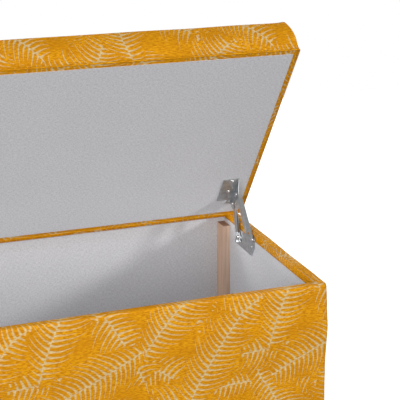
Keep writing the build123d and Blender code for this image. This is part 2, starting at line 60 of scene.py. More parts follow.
# ---------------------------------------------------------------- measures from the CAD
def joint_box(nodes):
    """Lowest and highest corner of several CAD nodes."""
    boxes = [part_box(node) for node in nodes]
    low = [min(box[0][axis] for box in boxes) for axis in range(3)]
    high = [max(box[1][axis] for box in boxes) for axis in range(3)]
    return Vector(low), Vector(high)


chest_low, chest_high = joint_box([f"{side}_cover" for side in SIDES])
HALF_X, HALF_Y = chest_high.x, chest_high.y
BASE_Z, RIM_Z = chest_low.z, chest_high.z
LIP_INSET = HALF_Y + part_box("front_lining")[0].y
LINING_INSET = HALF_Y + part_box("front_lining")[1].y
LINING_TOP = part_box("front_lining")[1].z
FLOOR_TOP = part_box("base_lining")[1].z

lid_board_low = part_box("lid_board")[0]
SIN, COS = math.sin(OPEN_ANGLE), math.cos(OPEN_ANGLE)
lid_edge_y = lid_board_low.y + (LID_DEPTH - COVER) * COS - COVER * SIN
lid_edge_z = lid_board_low.z - COVER * (SIN + COS)
# The lid's own axes: X along the chest, Y towards its back edge, Z out of its top.
LID = Matrix(
    ((1, 0, 0, 0), (0, COS, SIN, lid_edge_y), (0, -SIN, COS, lid_edge_z), (0, 0, 0, 1))
)


# ---------------------------------------------------------------- node tree helpers
class Tree:
    """Short calls for building a shader tree."""

    def __init__(self, tree):
        self.tree = tree

    def put(self, socket, value):
        if isinstance(value, bpy.types.NodeSocket):
            self.tree.links.new(value, socket)
        elif value is not None:
            socket.default_value = value

    def node(self, kind, values=None, **settings):
        made = self.tree.nodes.new("ShaderNode" + kind)
        for name, value in settings.items():
            setattr(made, name, value)
        for name, value in (values or {}).items():
            self.put(made.inputs[name], value)
        return made

    def math(self, operation, *values):
        made = self.node("Math", operation=operation)
        for socket, value in zip(made.inputs, values):
            self.put(socket, value)
        return made.outputs[0]

    def vector(self, operation, *values):
        made = self.node("VectorMath", operation=operation)
        for socket, value in zip(made.inputs, values):
            self.put(socket, value)
        return made.outputs[0]

    def ramp(self, value, low, high, out_low=0.0, out_high=1.0):
        """Smooth step of a value between two stops."""
        stops = {"From Min": low, "From Max": high, "To Min": out_low, "To Max": out_high}
        made = self.node("MapRange", {"Value": value, **stops}, interpolation_type="SMOOTHSTEP")
        return made.outputs[0]

    def mix(self, factor, first, second):
        """Blend of two numbers."""
        rest = self.math("SUBTRACT", 1.0, factor)
        kept = self.math("MULTIPLY", first, rest)
        return self.math("ADD", kept, self.math("MULTIPLY", second, factor))

    def colour(self, factor, first, second):
        made = self.node("Mix", data_type="RGBA")
        self.put(made.inputs["Factor"], factor)
        self.put(made.inputs["A"], (*first, 1) if isinstance(first, tuple) else first)
        self.put(made.inputs["B"], (*second, 1) if isinstance(second, tuple) else second)
        return made.outputs["Result"]

    def noise(self, vector, scale, detail=3.0, stretch=(1, 1, 1)):
        scaled = self.vector("MULTIPLY", vector, stretch)
        made = self.node("TexNoise", {"Vector": scaled, "Scale": scale, "Detail": detail})
        return made.outputs["Fac"]

    def bump(self, height, distance, strength=1.0, normal=None):
        made = self.node("Bump", {"Height": height, "Distance": distance, "Strength": strength})
        self.put(made.inputs["Normal"], normal)
        return made.outputs["Normal"]


def new_material(name):
    """A material with an empty Principled surface, and its tree."""
    material = bpy.data.materials.new(name)
    material.use_nodes = True
    shader = material.node_tree.nodes["Principled BSDF"]
    return material, Tree(material.node_tree), shader


# ---------------------------------------------------------------- palm frond jacquard
REPEAT = 0.350
CELL = REPEAT / 2
FROND_LENGTH = 0.166
FROND_HALF_WIDTH = 0.050
LEAFLET_SPACING = 0.0082
FROND_BEND = 6.0  # most that a midrib curves, one way or the other, times two
SWEEP_STRAIGHT = 0.12
SWEEP_CURVE = 12.0  # how fast a leaflet turns towards the frond's tip
SHORTEST_LEAFLET = 0.55  # as a share of the longest
TAPER_POWER = 0.32
LINE_AT_ROOT = 0.41  # half of a leaflet's thickness, as a share of the spacing
LINE_AT_TIP = 0.02
LINE_BLUR = 0.12
FROND_LAYERS = ((0.00, 0.00), (0.52, 0.31), (0.23, 0.69), (0.77, 0.58), (0.45, 0.05))


def frond_group():
    """One layer of curved palm fronds, one in each cell, at turns that repeat every second cell."""
    group = bpy.data.node_groups.new("palm_frond_layer", "ShaderNodeTree")
    inputs = (("Cloth", "NodeSocketVector"), ("Shift", "NodeSocketVector"), ("Seed", "NodeSocketFloat"))
    for name, kind in inputs:
        group.interface.new_socket(name, in_out="INPUT", socket_type=kind)
    for name in ("Lines", "Leaf"):
        group.interface.new_socket(name, in_out="OUTPUT", socket_type="NodeSocketFloat")
    t = Tree(group)
    inside = group.nodes.new("NodeGroupInput").outputs
    cells = t.vector("ADD", t.vector("DIVIDE", inside["Cloth"], (CELL, CELL, 1)), inside["Shift"])
    index = t.vector("FLOOR", cells)
    place = t.vector("SUBTRACT", t.vector("SUBTRACT", cells, index), (0.5, 0.5, 0))
    place = t.vector("MULTIPLY", place, (CELL, CELL, 0))
    parts = t.node("SeparateXYZ", {"Vector": index})
    cell_x = t.math("FLOORED_MODULO", parts.outputs["X"], 2.0)
    cell_y = t.math("FLOORED_MODULO", parts.outputs["Y"], 2.0)
    key = t.node("CombineXYZ", {"X": cell_x, "Y": cell_y, "Z": inside["Seed"]}).outputs[0]
    chance = t.node("SeparateColor", {"Color": t.node("TexWhiteNoise", {"Vector": key}).outputs["Color"]})
    turn = t.math("MULTIPLY", chance.outputs["Red"], 2 * math.pi)
    turned = t.node("VectorRotate", {"Vector": place, "Angle": turn}, rotation_type="Z_AXIS")
    local = t.node("SeparateXYZ", {"Vector": turned.outputs[0]})
    along = local.outputs["X"]
    bend = t.math("MULTIPLY", t.math("SUBTRACT", chance.outputs["Green"], 0.5), FROND_BEND)
    sag = t.math("MULTIPLY", t.math("MULTIPLY", along, along), bend)
    across = t.math("SUBTRACT", local.outputs["Y"], sag)
    reach = t.math("ABSOLUTE", across)
    side = t.math("SIGN", across)
    # A leaflet leaves the midrib at "root" and curves towards the frond's tip.
    straight = t.math("MULTIPLY", reach, SWEEP_STRAIGHT)
    curved = t.math("MULTIPLY", t.math("MULTIPLY", reach, reach), SWEEP_CURVE)
    sweep = t.math("ADD", straight, curved)
    root = t.math("SUBTRACT", along, sweep)
    phase = t.math("ADD", t.math("DIVIDE", root, LEAFLET_SPACING), t.math("MULTIPLY", side, 0.25))
    number = t.math("FLOOR", phase)
    offset = t.math("ABSOLUTE", t.math("SUBTRACT", t.math("SUBTRACT", phase, number), 0.5))
    leaflet_key = t.node("CombineXYZ", {"X": number, "Y": side, "Z": inside["Seed"]}).outputs[0]
    leaflet = t.node("TexWhiteNoise", {"Vector": leaflet_key}).outputs["Value"]
    share = t.math("DIVIDE", t.math("ADD", root, FROND_LENGTH / 2), FROND_LENGTH)
    parabola = t.math("MULTIPLY", t.math("MULTIPLY", share, 4.0), t.math("SUBTRACT", 1.0, share))
    profile = t.math("MAXIMUM", parabola, 0.0)
    width = t.math("MULTIPLY", t.math("SQRT", profile), FROND_HALF_WIDTH)
    width = t.math("MULTIPLY", width, t.mix(leaflet, SHORTEST_LEAFLET, 1.0))
    width = t.math("MAXIMUM", width, 0.0001)
    share_out = t.math("DIVIDE", reach, width)
    leaf = t.ramp(share_out, 1.12, 1.04)
    taper = t.math("POWER", t.math("MINIMUM", share_out, 1.0), TAPER_POWER)
    thick = t.mix(taper, LINE_AT_ROOT, LINE_AT_TIP)
    line = t.ramp(offset, t.math("ADD", thick, LINE_BLUR), t.math("SUBTRACT", thick, LINE_BLUR))
    line = t.math("MULTIPLY", line, t.ramp(share_out, 0.98, 0.80))
    rib = t.math("MULTIPLY", t.ramp(reach, 0.0013, 0.0006), t.ramp(share, 0.0, 0.04))
    lines = t.math("MULTIPLY", t.math("MAXIMUM", line, rib), leaf)
    outside = group.nodes.new("NodeGroupOutput")
    group.links.new(lines, outside.inputs["Lines"])
    group.links.new(leaf, outside.inputs["Leaf"])
    return group


WEFT_PITCH = 0.0013
WARP_PITCH = 0.0021
WANDER = 0.006  # how far the drawing is pulled about by the weave


def frond_lines(t, cloth, layers):
    """Pale lines of all the layers, where each leaf hides what lies under it."""
    wander = t.node("TexNoise", {"Vector": cloth, "Scale": 22.0, "Detail": 1.0}).outputs["Color"]
    pull = t.vector("MULTIPLY", t.vector("SUBTRACT", wander, (0.5, 0.5, 0.5)), (WANDER, WANDER, 0))
    drawn = t.vector("ADD", cloth, pull)
    lines = 0.0
    for number, (x, y) in enumerate(layers):
        layer = t.tree.nodes.new("ShaderNodeGroup")
        layer.node_tree = layer_group
        t.put(layer.inputs["Cloth"], drawn)
        layer.inputs["Shift"].default_value = (x, y, 0)
        layer.inputs["Seed"].default_value = 3.0 + number
        lines = t.mix(layer.outputs["Leaf"], lines, layer.outputs["Lines"])
    return lines


def jacquard(name, layers):
    """Mustard cloth on the piece's cloth map in metres, with any layers of pale fronds woven in."""
    material, t, shader = new_material(name)
    cloth = t.node("UVMap", uv_map="cloth").outputs["UV"]
    threads = t.node("SeparateXYZ", {"Vector": cloth})
    weft = t.math("SINE", t.math("MULTIPLY", threads.outputs["Y"], 2 * math.pi / WEFT_PITCH))
    slub = t.noise(cloth, 420.0, 4.0, (0.35, 1.6, 1))
    cloud = t.noise(cloth, 26.0, 4.0, (0.55, 1.3, 1))
    colour = t.colour(t.ramp(cloud, 0.36, 0.66), (0.625, 0.266, 0.006), (0.755, 0.345, 0.008))
    colour = t.colour(t.ramp(slub, 0.42, 0.60), colour, (0.520, 0.198, 0.004))
    rough = t.ramp(slub, 0.3, 0.75, 0.76, 0.86)
    relief = None
    if layers:
        lines = frond_lines(t, cloth, layers)
        warp = t.math("SINE", t.math("MULTIPLY", threads.outputs["X"], 2 * math.pi / WARP_PITCH))
        crossing = t.math("ADD", weft, t.math("MULTIPLY", warp, 0.6))
        beads = t.math("MULTIPLY", lines, t.ramp(crossing, -1.9, -0.2, 0.62, 1.0))
        beads = t.math("MULTIPLY", beads, t.ramp(slub, 0.64, 0.42, 0.62, 1.0))
        pale = t.colour(t.ramp(slub, 0.38, 0.66), (0.660, 0.525, 0.285), (0.545, 0.405, 0.190))
        colour = t.colour(beads, colour, pale)
        rough = t.math("SUBTRACT", rough, t.math("MULTIPLY", lines, 0.14))
        relief = t.bump(t.math("SUBTRACT", 1.0, lines), 0.0007, 0.35)
    t.put(shader.inputs["Base Color"], colour)
    t.put(shader.inputs["Roughness"], rough)
    shader.inputs["Specular IOR Level"].default_value = 0.05
    weave = t.math("ADD", t.math("MULTIPLY", weft, 0.5), t.math("MULTIPLY", slub, 1.1))
    t.put(shader.inputs["Normal"], t.bump(weave, 0.00022, 0.7, relief))
    return material


# ---------------------------------------------------------------- other materials
LINEN_SCALE = 900.0
SLUB_STRETCH = 0.25


def linen(name, light, dark, fine=1.0):
    """Plain woven lining with fine slubs both ways, on the piece's cloth map in metres."""
    material, t, shader = new_material(name)
    cloth = t.node("UVMap", uv_map="cloth").outputs["UV"]
    level = t.noise(cloth, LINEN_SCALE * fine, 4.0, (SLUB_STRETCH, 1.0, 1.0))
    upright = t.noise(cloth, LINEN_SCALE * fine, 4.0, (1.0, SLUB_STRETCH, 1.0))
    cloud = t.noise(cloth, 14.0, 3.0)
    weave = t.math("MULTIPLY", t.math("ADD", level, upright), 0.5)
    uneven = t.math("MULTIPLY", t.math("SUBTRACT", cloud, 0.5), 0.20)
    tone = t.math("ADD", t.ramp(weave, 0.36, 0.62), uneven)
    t.put(shader.inputs["Base Color"], t.colour(tone, dark, light))
    t.put(shader.inputs["Roughness"], t.ramp(level, 0.3, 0.7, 0.85, 0.95))
    shader.inputs["Specular IOR Level"].default_value = 0.15
    t.put(shader.inputs["Normal"], t.bump(weave, 0.00015, 0.5))
    return material


def pine():
    """Planed raw pine with upright grain; faces that point up or down are darker, partly as end grain and
    partly as painted shade.
    """
    material, t, shader = new_material("raw_pine")
    where = t.node("TexCoord").outputs["Object"]
    grain = t.noise(where, 420.0, 4.0, (1.0, 1.0, 0.035))
    rings = t.noise(where, 90.0, 2.0, (1.0, 1.0, 0.05))
    stain = t.noise(where, 30.0, 3.0, (1.0, 1.0, 0.2))
    tone = t.colour(t.ramp(rings, 0.38, 0.62), (0.700, 0.510, 0.385), (0.590, 0.400, 0.290))
    tone = t.colour(t.ramp(grain, 0.46, 0.74), tone, (0.520, 0.335, 0.235))
    tone = t.colour(t.ramp(stain, 0.5, 0.9), tone, (0.560, 0.400, 0.310))
    up = t.node("SeparateXYZ", {"Vector": t.node("NewGeometry").outputs["Normal"]}).outputs["Z"]
    # Faces pointing up or down get a darker colour. Part of it is the darker end grain; part is painted
    # shade for the post's top, which lies in shadow.
    end_grain_and_shade = t.ramp(t.math("ABSOLUTE", up), 0.85, 0.97)
    t.put(shader.inputs["Base Color"], t.colour(end_grain_and_shade, tone, (0.360, 0.230, 0.165)))
    t.put(shader.inputs["Roughness"], t.ramp(grain, 0.3, 0.8, 0.62, 0.82))
    t.put(shader.inputs["Normal"], t.bump(grain, 0.0003, 0.5))
    return material


def board():
    """Pressed board, seen only at cut edges."""
    material, t, shader = new_material("pressed_board")
    where = t.node("TexCoord").outputs["Object"]
    chips = t.node("TexVoronoi", {"Vector": where, "Scale": 260.0})
    fibre = t.noise(where, 700.0, 3.0)
    tone = t.colour(chips.outputs["Distance"], (0.420, 0.285, 0.165), (0.250, 0.155, 0.085))
    t.put(shader.inputs["Base Color"], t.colour(t.ramp(fibre, 0.4, 0.7), tone, (0.480, 0.345, 0.215)))
    t.put(shader.inputs["Roughness"], t.ramp(fibre, 0.2, 0.8, 0.7, 0.9))
    t.put(shader.inputs["Normal"], t.bump(chips.outputs["Distance"], 0.0003, 0.4))
    return material


def zinc(name, light, dark, low=0.24, high=0.42):
    """Zinc-plated pressed steel with faint rolling marks and handling haze."""
    material, t, shader = new_material(name)
    where = t.node("TexCoord").outputs["Object"]
    rolled = t.noise(where, 900.0, 2.0, (1.0, 1.0, 0.06))
    haze = t.noise(where, 120.0, 4.0)
    t.put(shader.inputs["Base Color"], t.colour(t.ramp(haze, 0.35, 0.7), light, dark))
    shader.inputs["Metallic"].default_value = 1.0
    t.put(shader.inputs["Roughness"], t.ramp(haze, 0.3, 0.75, low, high))
    t.put(shader.inputs["Normal"], t.bump(rolled, 0.00004, 0.5))
    return material


def plastic():
    """Dark moulded plastic, scuffed lightly."""
    material, t, shader = new_material("moulded_plastic")
    where = t.node("TexCoord").outputs["Object"]
    grain = t.noise(where, 1500.0, 2.0)
    scuffs = t.noise(where, 200.0, 4.0, (1.0, 0.2, 1.0))
    tone = t.colour(t.ramp(scuffs, 0.5, 0.8), (0.030, 0.024, 0.022), (0.075, 0.066, 0.060))
    t.put(shader.inputs["Base Color"], tone)
    t.put(shader.inputs["Roughness"], t.ramp(scuffs, 0.3, 0.8, 0.42, 0.62))
    t.put(shader.inputs["Normal"], t.bump(grain, 0.00008, 0.5))
    return material


layer_group = frond_group()
palm = jacquard("palm_jacquard", FROND_LAYERS)
plain_weave = jacquard("ground_weave", ())
lining_cloth = linen("lining_linen", (0.668, 0.668, 0.686), (0.505, 0.505, 0.528))
dust_cloth = linen("dust_nonwoven", (0.030, 0.030, 0.033), (0.012, 0.012, 0.014), 0.6)
hinge_zinc = zinc("hinge_zinc", (0.640, 0.662, 0.675), (0.495, 0.513, 0.525), 0.28, 0.44)
bright_zinc = zinc("bright_zinc", (0.900, 0.895, 0.885), (0.780, 0.770, 0.760), 0.12, 0.24)
SLOT_MATERIALS = {
    "cover_fabric": palm,
    "lining_cloth": lining_cloth,
    "dust_cloth": dust_cloth,
    "board": board(),
    "pine": pine(),
    "hinge_steel": hinge_zinc,
    "screw_steel": zinc("screw_zinc", (0.640, 0.600, 0.470), (0.470, 0.430, 0.320)),
    "staple_steel": zinc("staple_zinc", (0.600, 0.600, 0.600), (0.430, 0.430, 0.430)),
    "glide_plastic": plastic(),
}
BRIGHT_NODES = ("wall_rivets", "lid_rivets", "wall_screws", "lid_screws")
HINGE_SHEET_NODES = ("wall_bracket", "rear_arm", "front_arm", "lid_bracket")
for part in frame["record"]["subparts"]:
    material = SLOT_MATERIALS.get(part["material_slot"])
    if part["node"] in BRIGHT_NODES:
        material = bright_zinc
    if material:
        cad_mesh = frame["nodes"][part["node"]].data
        cad_mesh.materials.clear()
        cad_mesh.materials.append(material)


# ---------------------------------------------------------------- mesh helpers
def add_piece(name, points, faces, cloth, material, place=Matrix.Identity(4)):
    """Links a mesh whose faces carry a cloth map in metres, one (u, v) for each corner."""
    mesh = bpy.data.meshes.new(name)
    mesh.from_pydata([tuple(place @ Vector(point)) for point in points], [], faces)
    layer = mesh.uv_layers.new(name="cloth")
    layer.data.foreach_set("uv", np.array(cloth, np.float32).ravel())
    mesh.materials.append(material)
    mesh.shade_smooth()
    piece = bpy.data.objects.new(name, mesh)
    bpy.context.scene.collection.objects.link(piece)
    return piece


def merge_and_orient(piece):
    """Joins points that coincide, and turns every face outwards."""
    work = bmesh.new()
    work.from_mesh(piece.data)
    bmesh.ops.remove_doubles(work, verts=work.verts, dist=0.00002)
    bmesh.ops.recalc_face_normals(work, faces=work.faces)
    work.to_mesh(piece.data)
    work.free()


def thicken(piece, thickness):
    """Gives a cloth its thickness behind its outer face."""
    solid = piece.modifiers.new("cloth_thickness", "SOLIDIFY")
    solid.thickness = thickness
    solid.offset = -1.0


SIDE_STEPS = 112  # along each long side of a ring
END_STEPS = 50
CORNER_STEPS = 8


def ring(half_x, half_y, radius):
    """Points round a rectangle with rounded corners, from the front left.

    The second list is 1 at a corner's middle and 0 along the sides.
    """
    spots, corner = [], []
    quarter = math.pi / 2
    runs = (
        ((-1, -1), (1, -1), SIDE_STEPS),
        ((1, -1), (1, 1), END_STEPS),
        ((1, 1), (-1, 1), SIDE_STEPS),
        ((-1, 1), (-1, -1), END_STEPS),
    )
    for number, (start, stop, steps) in enumerate(runs):
        lead = radius if number % 2 == 0 else 0
        side = radius - lead
        first = (start[0] * (half_x - lead), start[1] * (half_y - side))
        last = (stop[0] * (half_x - lead), stop[1] * (half_y - side))
        for step in range(steps + 1):
            share = step / steps
            x = first[0] + (last[0] - first[0]) * share
            y = first[1] + (last[1] - first[1]) * share
            spots.append((x, y))
            corner.append(0.0)
        centre = (stop[0] * (half_x - radius), stop[1] * (half_y - radius))
        for step in range(1, CORNER_STEPS):
            angle = -quarter + number * quarter + quarter * step / CORNER_STEPS
            spots.append((centre[0] + radius * math.cos(angle), centre[1] + radius * math.sin(angle)))
            corner.append(math.sin(math.pi * step / CORNER_STEPS))
    return spots, corner


def loft(levels, closed=False):
    """Quads through rings of equal count. Each level is (points, distance along the cloth)."""
    count = len(levels[0][0])
    outer = max(levels, key=lambda level: sum(abs(x) + abs(y) for x, y, _ in level[0]))[0]
    run = [0.0]
    for index in range(count):
        a, b = outer[index], outer[(index + 1) % count]
        run.append(run[-1] + math.dist(a[:2], b[:2]))
    points = [point for level, _ in levels for point in level]
    faces, cloth = [], []
    total = len(levels)
    for row in range(total if closed else total - 1):
        above = (row + 1) % total
        low_v = levels[row][1]
        high_v = levels[above][1] if above else low_v + math.dist(levels[row][0][0], levels[0][0][0])
        low_row, high_row = row * count, above * count
        for index in range(count):
            after = (index + 1) % count
            faces.append((low_row + index, low_row + after, high_row + after, high_row + index))
            left, right = run[index], run[index + 1]
            cloth += [(left, low_v), (right, low_v), (right, high_v), (left, high_v)]
    return points, faces, cloth


def soft(point, scale, amount):
    """Smooth unevenness that is the same in every run."""
    return amount * noise.noise(Vector(point) * scale)


def arc(centre, radius, start, stop, steps):
    """Points on a circle in (inset, height), from one angle to another in degrees."""
    made = []
    for step in range(steps + 1):
        angle = math.radians(start + (stop - start) * step / steps)
        made.append((centre[0] - radius * math.cos(angle), centre[1] + radius * math.sin(angle)))
    return made


def line(start, stop, steps):
    """Points between two (inset, height) points, without the first and the last."""
    return [
        (start[0] + (stop[0] - start[0]) * step / steps, start[1] + (stop[1] - start[1]) * step / steps)
        for step in range(1, steps)
    ]


# ---------------------------------------------------------------- chest cover
HEM_INSET = 0.022
HEM_ROUND = 0.003
RIM_ROUND = 0.0042
LIP_DEPTH = 0.030
CORNER_RADIUS = 0.0045
CORNER_SLACK = 0.003  # extra rounding where the cloth is pulled over a corner's top
SLACK_DEPTH = 0.026
CORNER_PULL = 0.0004
BELLY = 0.0022  # the padding is fullest a little below the rim
BELLY_DROP = 0.065
BELLY_SPREAD = 0.038
WALL_SWELL = 0.0009  # the padding's even swell, most at mid height
WALL_WAVE = (9.0, 0.0011)  # scale and height of the cover's slow unevenness
WALL_RIPPLE = (34.0, 0.0005)
RIM_WAVE = (14.0, 0.0006)
CORNER_REACH = 0.05  # the pull at a corner fades out over this length
RIM_ZONE = 0.002  # depth below the rim that counts as its top
LIP_CORNER_TUCK = 0.0005  # the lip is drawn back at its inner corners
LIP_CORNER_SAG = 0.0006


def wall_profile():
    """The cover's section from under the base, up the wall, over the rim and down inside."""
    bottom = arc((HEM_ROUND, BASE_Z + HEM_ROUND), HEM_ROUND, -90, 0, 4)
    top = arc((RIM_ROUND, RIM_Z - RIM_ROUND), RIM_ROUND, 0, 90, 6)
    inner = arc((LIP_INSET - RIM_ROUND, RIM_Z - RIM_ROUND), RIM_ROUND, 90, 180, 5)
    low = (LIP_INSET, RIM_Z - LIP_DEPTH)
    section = [(HEM_INSET, BASE_Z)] + line((HEM_INSET, BASE_Z), bottom[0], 4) + bottom
    section += line(bottom[-1], top[0], 40) + top + line(top[-1], inner[0], 4) + inner
    return section + line(inner[-1], low, 5) + [low]


def chest_levels():
    """Rings of the chest cover, one for each point of its section."""
    levels = []
    length = 0.0
    section = wall_profile()
    for number, (inset, z) in enumerate(section):
        if number:
            length += math.dist(section[number - 1], section[number])
        below = RIM_Z - z
        outside = inset < RIM_ROUND
        fade = math.exp(-below / SLACK_DEPTH)
        slack = CORNER_SLACK * fade if inset < LIP_INSET - 0.001 else 0.0
        radius = max(CORNER_RADIUS + slack - inset, 0.0008)
        spots, corner = ring(HALF_X - inset, HALF_Y - inset, radius)
        share = min(max((z - BASE_Z) / (RIM_Z - BASE_Z), 0), 1)
        belly = BELLY * math.exp(-(((below - BELLY_DROP) / BELLY_SPREAD) ** 2))
        pad = WALL_SWELL * math.sin(math.pi * share) + belly if outside else 0.0
        points = []
        for (x, y), middle in zip(spots, corner):
            wave = soft((x, y, z), *WALL_WAVE) + soft((x, y, z), *WALL_RIPPLE)
            out = pad + (wave if outside else 0.0)
            along_x = max(0.0, abs(x) - (HALF_X - CORNER_REACH)) / CORNER_REACH
            along_y = max(0.0, abs(y) - (HALF_Y - CORNER_REACH)) / CORNER_REACH
            near = along_x * along_y if outside else 0.0
            out -= CORNER_PULL * near * fade
            lift = soft((x, y, 3.0), *RIM_WAVE) if below < RIM_ZONE else 0.0
            if not outside and below < LIP_DEPTH - 0.001:
                out -= LIP_CORNER_TUCK * middle
                lift -= LIP_CORNER_SAG * middle
            scale_x = (HALF_X - inset + out) / (HALF_X - inset)
            scale_y = (HALF_Y - inset + out) / (HALF_Y - inset)
            points.append((x * scale_x, y * scale_y, z + lift))
        levels.append((points, length))
    return levels


chest_cover = add_piece("chest_cover", *loft(chest_levels()), palm)
thicken(chest_cover, COVER)
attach(chest_cover, "chest")
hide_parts(*[f"{side}_{layer}" for side in SIDES for layer in ("cover", "wadding")])


# ---------------------------------------------------------------- linings
LINING_CLOTH = 0.0006


def cloth_grid(name, width, height, place, material, shape, steps=0.010):
    """Rectangle of cloth. shape(u, v) gives how far a point stands off the flat, in metres.

    The outer edges are sharp, so that the shading stays flat up to them.
    """
    across, up = max(2, round(width / steps)), max(2, round(height / steps))
    points, faces, cloth = [], [], []
    for row in range(up + 1):
        for column in range(across + 1):
            u, v = width * column / across, height * row / up
            points.append((u - width / 2, v, shape(u, v)))
    for row in range(up):
        for column in range(across):
            first = row * (across + 1) + column
            faces.append((first, first + 1, first + across + 2, first + across + 1))
            for du, dv in ((0, 0), (1, 0), (1, 1), (0, 1)):
                cloth.append((width * (column + du) / across, height * (row + dv) / up))
    piece = add_piece(name, points, faces, cloth, material, place)
    inside = {row * (across + 1) + column for row in range(1, up) for column in range(1, across)}
    for edge in piece.data.edges:
        edge.use_edge_sharp = not inside.intersection(edge.vertices)
    return piece


HEM_FOLD = 0.008  # folded edge at the top of a wall lining
HEM_STEP = 0.0007
EDGE_FADE = 0.02


def wall_lining_shape(height, seed):
    """Faint waves and a folded top edge."""
    def shape(u, v):
        stand = max(0.0, soft((u, v, seed), 16.0, 0.0004))
        fade = min(1.0, u / EDGE_FADE, v / EDGE_FADE)
        fold = HEM_STEP if v > height - HEM_FOLD else 0.0
        return stand * fade + fold
    return shape


def wall_place(side):
    """Matrix from a lining's own plane (across, up, into the chest) to the chest."""
    inset = LINING_INSET - 0.0003
    spots = {
        "front": ((1, 0, 0), (0, -(HALF_Y - inset), 0), (0, 1, 0)),
        "back": ((-1, 0, 0), (0, HALF_Y - inset, 0), (0, -1, 0)),
        "left": ((0, -1, 0), (-(HALF_X - inset), 0, 0), (1, 0, 0)),
        "right": ((0, 1, 0), (HALF_X - inset, 0, 0), (-1, 0, 0)),
    }
    across, origin, inward = spots[side]
    made = Matrix.Identity(4)
    for row in range(3):
        made[row][0], made[row][1], made[row][2] = across[row], float(row == 2), inward[row]
        made[row][3] = origin[row]
    made[2][3] = FLOOR_TOP
    return made


for number, side in enumerate(SIDES):
    low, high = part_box(f"{side}_lining")
    width = max(high.x - low.x, high.y - low.y)
    tall = LINING_TOP - FLOOR_TOP
    shape = wall_lining_shape(tall, number * 3.1)
    sheet = cloth_grid(f"{side}_wall_lining", width, tall, wall_place(side), lining_cloth, shape)
    thicken(sheet, LINING_CLOTH)
    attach(sheet, "chest")
    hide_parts(f"{side}_lining")


def floor_shape(width, depth):
    """Loose cloth that lies flat along its edges."""
    def shape(u, v):
        edge = min(u, width - u, v, depth - v)
        return max(0.0, soft((u, v, 8.0), 11.0, 0.0022)) * min(1.0, edge / 0.04)
    return shape


floor_low, floor_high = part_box("base_lining")
floor_size = floor_high - floor_low
floor_place = Matrix.Translation((0, floor_low.y, floor_high.z))
shape = floor_shape(floor_size.x, floor_size.y)
floor_lining = cloth_grid("floor_lining", floor_size.x, floor_size.y, floor_place, lining_cloth, shape)
thicken(floor_lining, LINING_CLOTH)
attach(floor_lining, "chest")
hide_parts("base_lining")

dust_low, dust_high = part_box("dust_cover")
dust_size = dust_high - dust_low
BATTEN_ZONE = 0.042  # the cloth lies on the hem and battens this near its edge


def dust_shape(u, v):
    """Flat on the battens, and hanging a little between them."""
    edge = min(u, dust_size.x - u, v, dust_size.y - v) - BATTEN_ZONE
    free = min(max(edge / 0.05, 0.0), 1.0)
    return -free * (0.0010 + soft((u, v, 5.0), 12.0, 0.0014)) + 0.0001


dust_place = Matrix.Translation((0, dust_low.y, dust_high.z))
dust_sheet = cloth_grid("dust_sheet", dust_size.x, dust_size.y, dust_place, dust_cloth, dust_shape)
thicken(dust_sheet, dust_size.z)
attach(dust_sheet, "chest")
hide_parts("dust_cover")


# ---------------------------------------------------------------- lid cushion
TOP_RADIUS = 0.0030
LOW_RADIUS = 0.0022
START_BULGE = 0.0042
SIDE_SWELL = 0.0028  # most that the simulation may move a point
SETTLE_FRAMES = 20
TOP_CROWN = 0.0015
CROWN_REACH = 0.09
PLUMP = 0.0038  # how far the pad stands above its block


def stations(low, high, edge, step):
    """Coordinates with close stations inside each edge's rounding."""
    close = [0.0, 0.15, 0.45, 0.75]
    inner = np.linspace(low + edge, high - edge, max(2, round((high - low) / step)) + 1)
    first = [low + edge * share for share in close]
    last = [high - edge * share for share in reversed(close)]
    return first + list(inner) + last


def lid_shell():
    """Faces of a block on a grid, in lid axes, with a cloth map that runs over the front edge."""
    xs = stations(-LID_HALF, LID_HALF, TOP_RADIUS, 0.0085)
    ys = stations(-LID_DEPTH, 0.0, TOP_RADIUS, 0.0085)
    zs = stations(0.0, LID_THICKNESS, TOP_RADIUS, 0.0075)
    points, faces, cloth = [], [], []

    def face(us, vs, spot, chart, flip):
        for i in range(len(us) - 1):
            for j in range(len(vs) - 1):
                u0, u1, v0, v1 = us[i], us[i + 1], vs[j], vs[j + 1]
                corners = [(u0, v0), (u1, v0), (u1, v1), (u0, v1)]
                if flip:
                    corners.reverse()
                faces.append(tuple(range(len(points), len(points) + 4)))
                points.extend(spot(*corner) for corner in corners)
                cloth.extend(chart(*corner) for corner in corners)

    face(xs, ys, lambda x, y: (x, y, 0.0), lambda x, y: (x, -LID_DEPTH - y), True)
    top_run = LID_THICKNESS + LID_DEPTH
    face(xs, ys, lambda x, y: (x, y, LID_THICKNESS), lambda x, y: (x, top_run + y), False)
    face(xs, zs, lambda x, z: (x, -LID_DEPTH, z), lambda x, z: (x, z), False)
    # The back and the ends take other parts of the pattern.
    face(xs, zs, lambda x, z: (x, 0.0, z), lambda x, z: (x + 0.11, z + 0.07), True)
    face(ys, zs, lambda y, z: (LID_HALF, y, z), lambda y, z: (y + 0.83, z), False)
    face(ys, zs, lambda y, z: (-LID_HALF, y, z), lambda y, z: (0.23 - y, z), True)
    return points, faces, cloth


